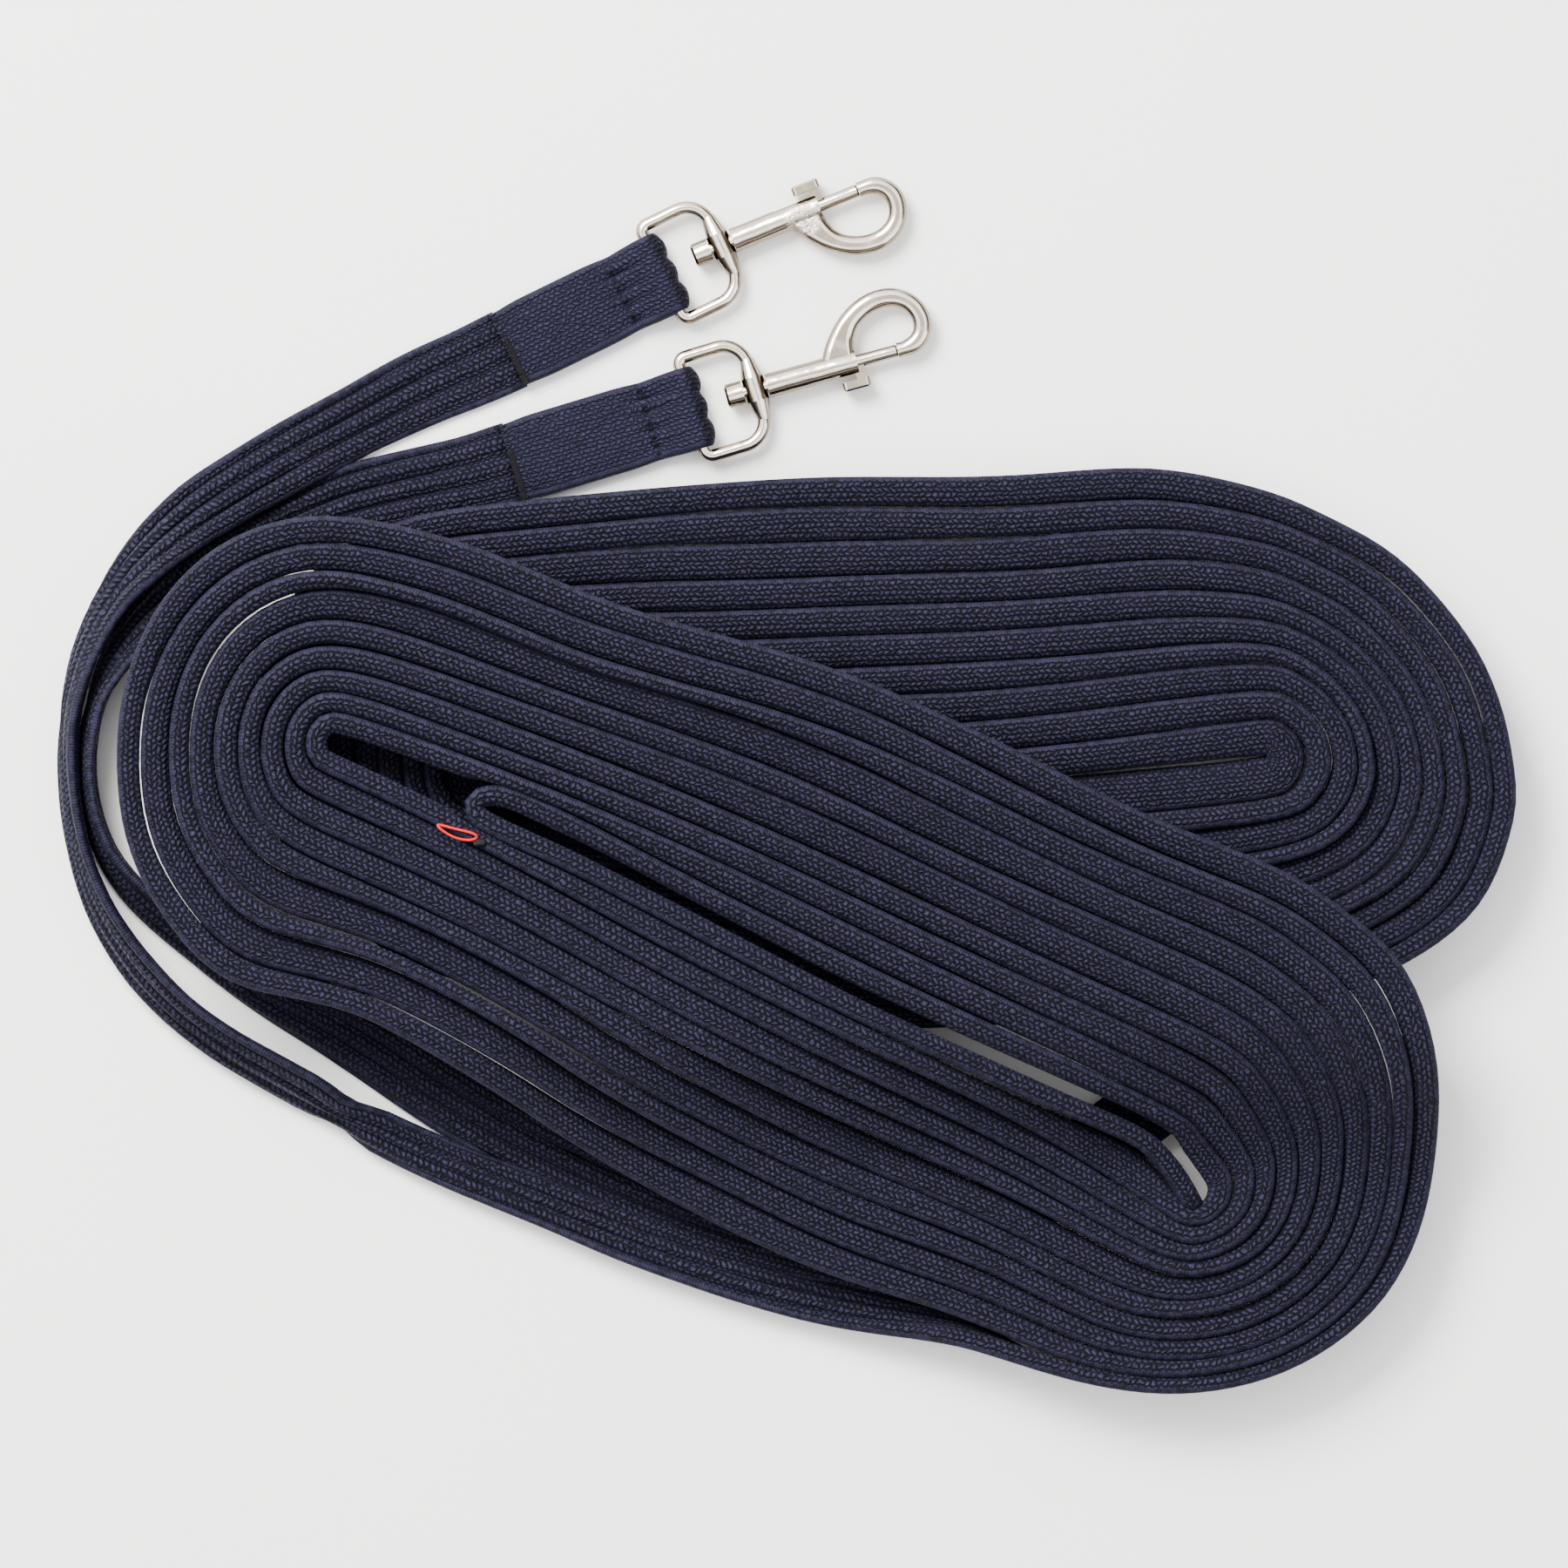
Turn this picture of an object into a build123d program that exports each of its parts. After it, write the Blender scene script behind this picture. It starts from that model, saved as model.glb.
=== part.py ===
"""Pair of long webbing reins, each wound in an oblong coil, with a swivel bolt snap on each.

Millimetres. The coils lie on the plane z = 0, and the origin is the centre of the footprint.
Rein A is the front coil, which lies partly on top of rein B's coil. A free leg of web runs
from each coil round the left side to a sewn clip end, which holds the eye of a bolt snap.
"""
import os
from math import hypot, radians, tan
from build123d import *

# --- webbing -------------------------------------------------------------------------------
web_width = 25.0            # flat width of the web
web_t = 2.5                 # thickness of one layer
web_gap = 0.3               # air between soft solids that lie on each other
floor_gap = 0.1             # air under whatever lies on the floor or on another piece
leg_width = 14.0            # plan width of a leg, whose web has narrowed into lengthwise folds
cord_d = 17.0               # round size that stands for the folded web
arc_share = 0.45            # share of the shorter run that each arc takes
coil_h = 20.0               # height of a coil of web that stands on edge and leans outward

# --- sewn clip end (local x points along the snap, and 0 is the axis of the eye's bar) -----
sewn_layer_t = 2.3          # one layer where it is pressed and sewn
bar_r = 1.9                 # half the wire of the eye
loop_r = bar_r + web_gap + sewn_layer_t
snap_z = loop_r + floor_gap  # height of the eye's bar and of the whole snap
loop_bore_r = bar_r + web_gap
loop_stitch_x = -13.0       # where the cross stitch closes the loop
loop_shoulder = (-4.5, 4.0)  # where the upper layer leaves the bar
thread_w = 0.6
thread_h = 0.35
box_end_margin = 4.0        # box stitch from the loop stitch and from the tail
box_side_margin = 3.0
seam_side_margin = 1.2
loop_seam_w = 0.9
tack_w = 2.0
tack_back = 1.6             # from the tail to the middle of the bar tack

# --- square swivel eye -----------------------------------------------------------------------
eye_half_w = 15.3           # centre line of each arm
eye_depth = 19.6            # from the bar to the boss's centre
eye_bar_corner_r = 2.4
eye_far_corner_r = 7.6
boss_half_len = 3.3         # along the snap
boss_half_h = 3.6
boss_half_w = 3.6
boss_taper_w = 9.4          # where the boss has tapered back to wire
boss_hole_r = 2.06
boss_hole_half_len = 8.0

# --- swivel stem, a rivet through the boss -------------------------------------------------
stem_r = 2.0
rivet_r = 3.7
rivet_x0, rivet_x1 = 10.6, 15.9
rivet_chamfer = 0.7
collar_r = 3.75
collar_x0, collar_x1 = 23.3, 25.0
stem_plug_x1 = 26.8

# --- snap body: barrel and hook in one casting ---------------------------------------------
barrel_r = 3.65
barrel_x0, barrel_x1 = 25.0, 50.8
bore_r = 1.98
hook_stations = [           # centre x, centre y, heading in degrees, width, thickness
    (45.2, 0.6, 82, 10.4, 5.2), (47.4, 6.0, 63, 8.4, 5.4), (50.7, 11.1, 47, 6.3, 5.4),
    (55.0, 14.3, 25, 5.8, 5.4), (60.3, 16.0, 4, 5.7, 5.2), (65.8, 15.7, -19, 5.5, 5.0),
    (70.1, 13.2, -46, 5.3, 4.9), (72.4, 9.3, -74, 5.4, 4.9), (72.5, 5.1, -102, 5.4, 4.9),
    (70.5, 1.8, -135, 5.2, 4.9), (67.3, 0.2, -163, 4.9, 4.9), (63.4, 0.0, -180, 4.7, 4.7)]
section_round = 0.44        # corner radius of the hook's section, as a share of its narrow side
hook_tip_x = 63.4
cup_depth = 2.0
cup_overrun = 0.6
slide_gap = 0.1
slot_w = 2.9
slot_x0 = 37.6

# --- plunger, thumb stud and return spring -------------------------------------------------
plunger_r = 1.9
plunger_x0, plunger_x1 = 40.0, 63.3
plunger_chamfer = 0.4
stud_x0, stud_x1 = 49.6, 52.6
stud_w = 2.5
stud_overlap = 0.45         # how far the stud runs into its pad and past the plunger's side
pad_x0, pad_x1 = 44.9, 53.3
pad_y0, pad_y1 = -8.0, -5.3
pad_h = 6.0
pad_corner_r = 1.2
pad_chamfer = 0.5
spring_wire_r = 0.22
spring_r = 1.3
spring_x0, spring_x1 = 27.2, 39.6
spring_turns = 6

# --- red thread loop near the front coil's centre ------------------------------------------
tag_centre = (-95.5, -14.0)
tag_angle = -18.0
tag_len, tag_wid = 11.0, 3.4
tag_thread_r = 0.45
tag_knot_r = 1.5
tag_knot_bite = 0.3         # how far the knot takes in the loop's end
tag_knot_y = -0.8

# --- where each clip end lies: boss centre, eye yaw, snap yaw, sewn length, hook side --------
clips = {
    "a": dict(boss=(-18.6, 160.2), eye_yaw=26.0, snap_yaw=22.0, sewn=52.0, flip=True),
    "b": dict(boss=(-8.5, 117.4), eye_yaw=16.8, snap_yaw=15.3, sewn=57.0, flip=False),
}

# --- routes of the free legs, from the end of the sewn part into the coil --------------------
leg_a_route = [(-106.7, 118.6), (-130.5, 106.4), (-155.5, 91.8), (-180.0, 75.0), (-200.0, 52.5),
               (-209.0, 24.0), (-209.2, -6.0), (-203.0, -35.0), (-189.5, -57.5), (-170.5, -75.5),
               (-147.5, -88.5), (-123.8, -101.4), (-98.5, -113.4), (-72.7, -124.3),
               (-45.7, -134.9), (-17.3, -144.7), (12.6, -152.7), (43.0, -158.6)]
leg_b_route = [(-104.5, 89.9), (-130.0, 84.5), (-153.5, 74.5), (-176.0, 60.0), (-193.5, 41.0),
               (-202.0, 16.0), (-202.5, -9.0), (-193.5, -31.5), (-176.0, -51.0),
               (-154.0, -65.5), (-129.0, -77.0), (-101.0, -90.5), (-72.0, -107.0),
               (-40.0, -124.0), (-8.0, -136.0), (25.0, -139.5), (57.0, -131.0),
               (86.0, -113.0), (112.0, -93.5), (138.0, -77.0), (162.0, -60.5)]
leg_a_z = 1.5 * web_t + 2 * web_gap
leg_b_z = 0.5 * web_t + floor_gap

# --- outlines of the two coils ---------------------------------------------------------------
coil_a_outline = [(-196.0, 12.0), (-190.0, 41.0), (-172.0, 65.0), (-143.0, 77.5), (-105.0, 74.0),
                  (-50.0, 52.5), (13.7, 35.6), (59.5, 15.2), (104.9, -7.0), (145.4, -22.7),
                  (180.0, -47.0), (193.3, -88.0), (186.0, -138.0), (152.0, -173.5),
                  (112.0, -180.2), (70.0, -169.0), (30.0, -152.0), (-18.0, -131.5),
                  (-67.5, -101.3), (-110.0, -72.0), (-160.0, -59.0), (-186.0, -29.0)]
coil_b_outline = [(-112.0, 76.5), (-140.0, 54.0), (-153.0, 14.0), (-142.0, -26.0),
                  (-105.0, -52.0), (-40.0, -66.0), (40.0, -72.0), (100.0, -71.0),
                  (150.0, -64.0), (187.0, -50.5), (209.5, -30.0), (216.3, 0.0),
                  (207.5, 37.5), (183.0, 66.0), (141.0, 87.5), (94.6, 94.2), (15.0, 91.6),
                  (-30.0, 87.6), (-78.0, 81.6)]
drape_floor_y = -112.0      # the front coil lies on the floor on this side
drape_top_y = -74.0         # and on the back coil on this one
drape_reach = 260.0         # past the coils on every side
coil_a_z = coil_h + web_gap + floor_gap


def save(part, node):
    """Writes one node, named as a person would name the piece."""
    part.label = node
    export_step(part, f"parts/{node}.step")
    return part


def coil(outline, height):
    """A closed prism of a coil's outer shape."""
    edge = Spline(*outline, periodic=True)
    return extrude(make_face([edge]), amount=height)


def drape_profile(z_floor, z_top):
    """Side profile of the front coil: down on the floor, then up over the back coil."""
    reach = drape_reach
    corners = [(-reach, 0), (drape_floor_y, 0), (drape_top_y, z_floor), (reach, z_floor),
               (reach, z_top), (drape_top_y, z_top), (drape_floor_y, coil_h), (-reach, coil_h)]
    section = make_face(Polyline(*[(0, y, z) for y, z in corners], close=True))
    slab = extrude(section, amount=2 * reach, dir=(1, 0, 0))
    return Pos(-reach, 0, 0) * slab


def run_lengths(points):
    return [hypot(b[0] - a[0], b[1] - a[1]) for a, b in zip(points, points[1:])]


def corner_radii(points):
    """Each arc takes a fixed share of the shorter of its two runs."""
    runs = run_lengths(points)
    radii = []
    for i in range(1, len(points) - 1):
        before = Vector(*points[i]) - Vector(*points[i - 1])
        after = Vector(*points[i + 1]) - Vector(*points[i])
        half_turn = radians(before.get_angle(after)) / 2
        radii.append(arc_share * min(runs[i - 1], runs[i]) / tan(half_turn))
    return radii


def leg(points, width, thickness, z):
    """A flat bar along straight runs joined by tangent arcs."""
    radii = corner_radii(points)
    path = Pos(0, 0, z) * FilletPolyline(*points, radius=radii)
    start = Plane(origin=path @ 0, x_dir=(0, 0, 1), z_dir=path % 0)
    bar = sweep(start * Rectangle(thickness, width), path=path)
    return bar, radii, path.length


def local_to_part(origin, yaw, z, flip=False):
    """Placement of a piece drawn along local x, turned over where its hook is on the far side."""
    turn = Rot(180, 0, 0) if flip else Rot(0, 0, 0)
    return Pos(origin[0], origin[1], z) * Rot(0, 0, yaw) * turn


def along_x(radius, x0, x1):
    return Pos(x0, 0, 0) * Rot(0, 90, 0) * Cylinder(
        radius, x1 - x0, align=(Align.CENTER, Align.CENTER, Align.MIN))


def clip_end(sewn):
    """Doubled web that wraps the eye's bar."""
    low = floor_gap - snap_z
    slab_top = low + 2 * sewn_layer_t + floor_gap
    side = Polyline((-sewn, low), (0, low), (0, loop_r), loop_shoulder,
                    (loop_stitch_x, slab_top), (-sewn, slab_top), close=True)
    web = extrude(Plane.XZ * make_face(side), amount=web_width / 2, both=True)
    bore_axis = Rot(90, 0, 0)
    web += bore_axis * Cylinder(loop_r, web_width)
    web -= bore_axis * Cylinder(loop_bore_r, web_width + 2)
    return web


def thread_strip(start, end, width):
    """A flat seam of thread from start to end."""
    dx, dy = end[0] - start[0], end[1] - start[1]
    middle = Pos((start[0] + end[0]) / 2, (start[1] + end[1]) / 2)
    turn = Rot(0, 0, Vector(1, 0).get_signed_angle(Vector(dx, dy)))
    return middle * turn * Rectangle(hypot(dx, dy) + width, width)


def seams(strips):
    """Raised thread on the top face of the sewn part."""
    top = 2 * floor_gap - snap_z + 2 * sewn_layer_t
    outline = strips[0]
    for strip in strips[1:]:
        outline += strip
    return Pos(0, 0, top) * extrude(outline, amount=thread_h)


def box_stitch(sewn):
    """Box with a cross in it."""
    x0 = box_end_margin - sewn
    x1 = loop_stitch_x - box_end_margin
    y = web_width / 2 - box_side_margin
    corners = [(x0, -y), (x1, -y), (x1, y), (x0, y)]
    ends = list(zip(corners, corners[1:] + corners[:1]))
    ends += [((x0, -y), (x1, y)), ((x0, y), (x1, -y))]
    return seams([thread_strip(a, b, thread_w) for a, b in ends])


def cross_seam(x, width):
    """A straight seam across the web."""
    y = web_width / 2 - seam_side_margin
    return seams([thread_strip((x, -y), (x, y), width)])


def swivel_eye(snap_turn):
    """Square wire eye with a boss in its far side, bored for the stem."""
    path = FilletPolyline((0, -eye_half_w), (eye_depth, -eye_half_w), (eye_depth, eye_half_w),
                          (0, eye_half_w), close=True,
                          radius=[eye_bar_corner_r, eye_far_corner_r,
                                  eye_far_corner_r, eye_bar_corner_r])
    section = Plane(origin=path @ 0, z_dir=path % 0) * Circle(bar_r)
    eye = sweep(section, path=path)
    sizes = [(-boss_taper_w, bar_r, bar_r), (-boss_half_w, boss_half_len, boss_half_h),
             (boss_half_w, boss_half_len, boss_half_h), (boss_taper_w, bar_r, bar_r)]
    rings = [Plane(origin=(eye_depth, y, 0), x_dir=(1, 0, 0), z_dir=(0, 1, 0)) * Ellipse(a, b)
             if a != b else
             Plane(origin=(eye_depth, y, 0), x_dir=(1, 0, 0), z_dir=(0, 1, 0)) * Circle(a)
             for y, a, b in sizes]
    for near, far in zip(rings, rings[1:]):
        eye += loft([near, far])
    hole = Pos(eye_depth, 0, 0) * Rot(0, 0, snap_turn) * along_x(
        boss_hole_r, -boss_hole_half_len, boss_hole_half_len)
    return eye - hole


def swivel_stem():
    """Rivet head inside the eye, shank through the boss, collar and a plug in the barrel."""
    head = along_x(rivet_r, rivet_x0, rivet_x1)
    head = chamfer(head.edges().group_by(Axis.X)[0], rivet_chamfer)
    return (head + along_x(stem_r, rivet_x1, collar_x0) + along_x(collar_r, collar_x0, collar_x1)
            + along_x(bore_r, collar_x1, stem_plug_x1))


def hook():
    """The hook's leaf-shaped loop, lofted through its stations from the barrel to the tip."""
    sections = []
    for x, y, heading, width, thickness in hook_stations:
        along = Vector(1, 0).rotate(Axis.Z, heading)
        across = Vector(0, 1).rotate(Axis.Z, heading)
        place = Plane(origin=(x, y, 0), x_dir=across, z_dir=along)
        corner = section_round * min(width, thickness)
        sections.append(place * RectangleRounded(width, thickness, corner))
    return loft(sections)


def snap_body():
    """Barrel and hook, bored for the plunger and slotted for its thumb stud."""
    body = along_x(barrel_r, barrel_x0, barrel_x1) + hook()
    body -= along_x(bore_r, barrel_x0 - 1, barrel_x1 + 1)
    cup = along_x(plunger_r + slide_gap, hook_tip_x - cup_depth, hook_tip_x + cup_overrun)
    slot = Pos((slot_x0 + barrel_x1 + 1) / 2, -barrel_r, 0) * Box(
        barrel_x1 + 1 - slot_x0, 2 * barrel_r, slot_w)
    return body - cup - slot


def plunger():
    rod = along_x(plunger_r, plunger_x0, plunger_x1)
    return chamfer(rod.edges().group_by(Axis.X)[-1], plunger_chamfer)


def thumb_stud():
    """Flat stud through the slot, with a thumb pad."""
    inner_y = stud_overlap * 1.5 - plunger_r
    stem = Pos((stud_x0 + stud_x1) / 2, (pad_y1 + inner_y) / 2, 0) * Box(
        stud_x1 - stud_x0, inner_y - pad_y1 + stud_overlap, stud_w)
    pad = Pos((pad_x0 + pad_x1) / 2, (pad_y0 + pad_y1) / 2, 0) * Box(
        pad_x1 - pad_x0, pad_y1 - pad_y0, pad_h)
    pad = fillet(pad.edges().filter_by(Axis.Y), pad_corner_r)
    pad = chamfer(pad.faces().sort_by(Axis.Y)[0].edges(), pad_chamfer)
    return (stem + pad) - along_x(plunger_r, stud_x0 - 2, stud_x1 + 2)


def return_spring():
    """Open coil spring behind the plunger."""
    length = spring_x1 - spring_x0
    wire_path = Helix(pitch=length / spring_turns, height=length, radius=spring_r)
    section = Plane(origin=wire_path @ 0, z_dir=wire_path % 0) * Circle(spring_wire_r)
    wire = sweep(section, path=wire_path)
    return Pos(spring_x0, 0, 0) * Rot(0, 90, 0) * wire


def tag_loop():
    """A small loop of thread, laid flat."""
    a, b = tag_len / 2, tag_wid / 2
    path = Ellipse(a, b).edge()
    section = Plane(origin=path @ 0, z_dir=path % 0) * Circle(tag_thread_r)
    return sweep(section, path=path)


def bar_centre(clip):
    """The middle of the eye's bar, worked out from the boss."""
    back = Vector(-eye_depth, 0).rotate(Axis.Z, clip["eye_yaw"])
    return (clip["boss"][0] + back.X, clip["boss"][1] + back.Y)


def sewn_end(clip):
    """Where the doubled web ends and the single web of the leg begins."""
    bar = bar_centre(clip)
    back = Vector(-clip["sewn"] - 2 * web_gap, 0).rotate(Axis.Z, clip["eye_yaw"])
    return (bar[0] + back.X, bar[1] + back.Y)


def make_webbing():
    coil_b = coil(coil_b_outline, coil_h)
    coil_a = coil(coil_a_outline, 3 * coil_h) & drape_profile(coil_a_z, coil_a_z + coil_h)
    route_a = [sewn_end(clips["a"])] + leg_a_route
    route_b = [sewn_end(clips["b"])] + leg_b_route
    leg_a, radii_a, length_a = leg(route_a, leg_width, web_t, leg_a_z)
    leg_b, radii_b, length_b = leg(route_b, leg_width, web_t, leg_b_z)
    room_b, _, _ = leg(route_b, leg_width + 2 * web_gap, web_t + 2 * web_gap, leg_b_z)
    coil_a -= room_b
    leg_a -= coil_a
    leg_b -= coil_b
    section = leg_width * web_t
    for name, bar, radii, length in (("a", leg_a, radii_a, length_a),
                                     ("b", leg_b, radii_b, length_b)):
        print(f"leg {name}: length {length:.0f}, volume/section {bar.volume / section:.0f}, "
              f"radii {min(radii):.0f} to {max(radii):.0f} ({min(radii) / cord_d:.1f} d)")
    save(coil_a, "rein_a_coil")
    save(coil_b, "rein_b_coil")
    save(leg_a, "rein_a_leg")
    save(leg_b, "rein_b_leg")


def make_clip(name, clip):
    """One sewn clip end with its eye and its bolt snap."""
    at_bar = local_to_part(bar_centre(clip), clip["eye_yaw"], snap_z)
    sewn = clip["sewn"]
    save(at_bar * clip_end(sewn), f"rein_{name}_clip_end")
    save(at_bar * box_stitch(sewn), f"rein_{name}_box_stitch")
    save(at_bar * cross_seam(loop_stitch_x - thread_w, loop_seam_w), f"rein_{name}_loop_stitch")
    save(at_bar * cross_seam(tack_back - sewn, tack_w), f"rein_{name}_bar_tack")
    save(at_bar * swivel_eye(clip["snap_yaw"] - clip["eye_yaw"]), f"swivel_eye_{name}")
    reach = Vector(-eye_depth, 0).rotate(Axis.Z, clip["snap_yaw"])
    snap_origin = (clip["boss"][0] + reach.X, clip["boss"][1] + reach.Y)
    at_snap = local_to_part(snap_origin, clip["snap_yaw"], snap_z, clip["flip"])
    save(at_snap * swivel_stem(), f"swivel_stem_{name}")
    save(at_snap * snap_body(), f"snap_body_{name}")
    save(at_snap * plunger(), f"plunger_{name}")
    save(at_snap * thumb_stud(), f"thumb_stud_{name}")
    save(at_snap * return_spring(), f"plunger_spring_{name}")


def make_tag():
    z = coil_a_z + coil_h + tag_thread_r + floor_gap
    place = Pos(tag_centre[0], tag_centre[1], z) * Rot(0, 0, tag_angle)
    loop = tag_loop()
    knot_x = tag_len / 2 + tag_knot_r - tag_knot_bite
    knot_at = Pos(knot_x, tag_knot_y, tag_knot_r - tag_thread_r)
    knot = knot_at * Sphere(tag_knot_r)
    save(place * (loop - knot), "tag_loop")
    save(place * knot, "tag_knot")


os.makedirs("parts", exist_ok=True)
make_webbing()
for clip_name, clip_values in clips.items():
    make_clip(clip_name, clip_values)
make_tag()
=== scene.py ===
"""Looks for a pair of webbing reins with bolt snaps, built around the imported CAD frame. Metres."""
import math
import random

import bmesh
import bpy
import numpy as np
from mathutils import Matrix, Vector, noise
from mathutils.bvhtree import BVHTree


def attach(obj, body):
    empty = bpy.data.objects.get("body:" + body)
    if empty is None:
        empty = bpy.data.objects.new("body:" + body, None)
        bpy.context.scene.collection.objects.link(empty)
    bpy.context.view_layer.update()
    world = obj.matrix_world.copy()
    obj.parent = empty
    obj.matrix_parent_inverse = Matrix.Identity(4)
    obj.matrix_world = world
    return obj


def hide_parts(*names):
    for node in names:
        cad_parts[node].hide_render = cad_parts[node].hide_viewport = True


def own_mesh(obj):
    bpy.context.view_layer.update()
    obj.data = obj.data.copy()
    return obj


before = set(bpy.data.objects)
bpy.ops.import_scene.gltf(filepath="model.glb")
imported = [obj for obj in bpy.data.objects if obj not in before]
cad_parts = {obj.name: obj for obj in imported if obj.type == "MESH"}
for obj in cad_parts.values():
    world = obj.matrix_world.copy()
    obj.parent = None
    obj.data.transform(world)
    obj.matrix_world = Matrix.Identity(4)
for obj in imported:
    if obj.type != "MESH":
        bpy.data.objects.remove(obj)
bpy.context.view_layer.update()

MM = 0.001
UP = np.array([0.0, 0.0, 1.0])

# --- webbing --------------------------------------------------------------------------------
WEB_WIDTH = 25 * MM
WEB_T = 2.4 * MM
EDGE_STEPS = 3              # points round each selvedge
INSET = 4.5 * MM            # from a turn's outer side to the middle of its section
COIL_RISE = 20.6 * MM       # how high the back coil carries the front one
FLOOR_GAP = 0.1 * MM
STATION_STEPS = (5.0 * MM, 1.7 * MM)    # between a web's sections: on straights, in tight bends

KNUCKLE_LONG = 1.9 * MM     # the weave's knuckles, along and across the web
KNUCKLE_WIDE = 1.3 * MM
SELVEDGE_PICK = 0.9 * MM
LOOP_END_U = 20.0           # the UV place of the fold over the eye's bar, past any rein's end

# --- the clips: same numbers as the CAD -----------------------------------------------------
BAR_R = 1.9 * MM
SEWN_T = 2.3 * MM           # one layer of the sewn end
SNAP_Z = 4.6 * MM
EYE_DEPTH = 19.6 * MM       # from the eye's bar to the middle of its boss
LOOP_STITCH_X = -13.0 * MM  # the stitch across the web that closes its loop, from the bar
CLIPS = {
    "a": dict(boss=(-0.0186, 0.1602), eye_yaw=26.0, snap_yaw=22.0, sewn=0.052),
    "b": dict(boss=(-0.0085, 0.1174), eye_yaw=16.8, snap_yaw=15.3, sewn=0.057),
}

CAST_PATCH = (0.0058, 0.1680, 0.0070)    # a rough place in the casting of the upper snap

# --- the camera -----------------------------------------------------------------------------
VIEW_WIDTH = 0.4639         # what the picture spans at the height FOCUS_Z
VIEW_HEIGHT = 3.0
FOCUS_Z = 0.02
SENSOR = 36.0


def add_camera():
    data = bpy.data.cameras.new("camera")
    data.sensor_width = SENSOR
    data.lens = SENSOR * VIEW_HEIGHT / VIEW_WIDTH
    camera = bpy.data.objects.new("camera", data)
    camera.location = (0, 0, VIEW_HEIGHT + FOCUS_Z)
    bpy.context.collection.objects.link(camera)
    bpy.context.scene.camera = camera


# --- routes of the free legs, from the sewn end to the coil: place and what they lie on -----
LEG_A = [(-0.1067, 0.1186, 0.0000), (-0.1305, 0.1064, 0.0004), (-0.1560, 0.0922, 0.0024),
         (-0.1810, 0.0765, 0.0024), (-0.2020, 0.0530, 0.0010), (-0.2124, 0.0240, 0.0000),
         (-0.2124, -0.0060, 0.0000), (-0.2052, -0.0350, 0.0000), (-0.1900, -0.0580, 0.0000),
         (-0.1705, -0.0755, 0.0000), (-0.1475, -0.0885, 0.0000), (-0.1243, -0.1016, 0.0014),
         (-0.0990, -0.1136, 0.0026), (-0.0727, -0.1236, 0.0027), (-0.0457, -0.1349, 0.0026),
         (-0.0173, -0.1447, 0.0020), (0.0126, -0.1527, 0.0006)]
LEG_B = [(-0.1045, 0.0899, 0.0), (-0.1300, 0.0845, 0.0), (-0.1535, 0.0745, 0.0),
         (-0.1770, 0.0610, 0.0), (-0.1975, 0.0410, 0.0), (-0.2072, 0.0160, 0.0),
         (-0.2068, -0.0090, 0.0), (-0.1960, -0.0300, 0.0), (-0.1755, -0.0465, 0.0),
         (-0.1545, -0.0600, 0.0), (-0.1295, -0.0725, 0.0), (-0.1010, -0.0925, 0.0),
         (-0.0720, -0.1090, 0.0), (-0.0400, -0.1240, 0.0), (-0.0080, -0.1360, 0.0),
         (0.0250, -0.1395, 0.0), (0.0570, -0.1310, 0.0), (0.0860, -0.1130, 0.0),
         (0.1120, -0.0935, 0.0)]

# --- the coils, in mm: outer side of the first turn, line at the core and radius round it,
#     and where the front web's inner end runs ------------------------------------------------
RIDGE_A = [(48, -163.5), (84, -176.5), (118, -181), (150, -174), (176, -155.5), (190, -130),
           (194.5, -100), (192.5, -74), (183.5, -51), (166, -34.5), (146, -21.5), (105.5, -5),
           (61, 18), (15, 38.5), (-49, 56), (-91, 73.5), (-133, 82.8), (-163, 76), (-184, 59),
           (-196, 37), (-200.5, 12), (-198, -17), (-186.5, -42), (-165, -64), (-129, -72),
           (-93, -92), (-69, -109), (-38, -128), (5, -150)]
CORE_A = [(-131, 11), (-60, -20), (20, -62), (98, -98), (112, -106), (121, -118)]
CORE_R_A = [(-131, 9.6), (-100, 9.8), (-70, 13.4), (-30, 15.2), (121, 15.5)]
TONGUE_A = [(-79.9, -4.6), (-89.5, -4.8), (-90.0, -8.6), (-78.8, -13.9), (-60.9, -21.8),
            (-40.9, -32.3), (-10.9, -48), (19.1, -63.8), (49.2, -77.6), (77.2, -90.4),
            (97.5, -99.1), (107.5, -104), (113.8, -110.5), (118.6, -117), (122.5, -124.5)]
RIDGE_B = [(150, -66), (184, -53.5), (206.5, -36), (216.7, -11), (216.8, 6), (212.5, 26),
           (203, 45.5), (183, 68), (160, 81.5), (142, 89.3), (116, 95.7), (94.6, 97),
           (62, 95.3), (15, 95.6), (-26, 93), (-77, 88), (-114, 83), (-140, 70), (-157, 44),
           (-160, 10), (-150, -27), (-118, -55), (-70, -70), (-10, -77), (50, -79), (105, -75)]
CORE_B = [(-88, 2), (-10, -2), (70, 1), (142, 8.5)]
CORE_R_B = [(-88, 10), (142, 12.5)]
# spread: turns from the outside to the core; hole_to: the core is open as far as this x, in metres
COILS = {
    "a": dict(ridge=RIDGE_A, core=CORE_A, core_r=CORE_R_A, spread=8.69, turns=9.46, leg=LEG_A,
              tongue=TONGUE_A, seed=11, lies_on_other=True, closed_core=False, hole_to=-0.097),
    "b": dict(ridge=RIDGE_B, core=CORE_B, core_r=CORE_R_B, spread=9.15, turns=9.5, leg=LEG_B,
              tongue=[], seed=23, lies_on_other=False, closed_core=True, hole_to=-1.0),
}
POINTS_PER_TURN = 64
SWAY_FROM = 0.6                         # turns: the sway is full from here
SWAY_UNTIL = 9.0                        # and none is left here
SMOOTHED_SHARES = (0.3, 0.7)            # smoothed more and more, this far in

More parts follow.
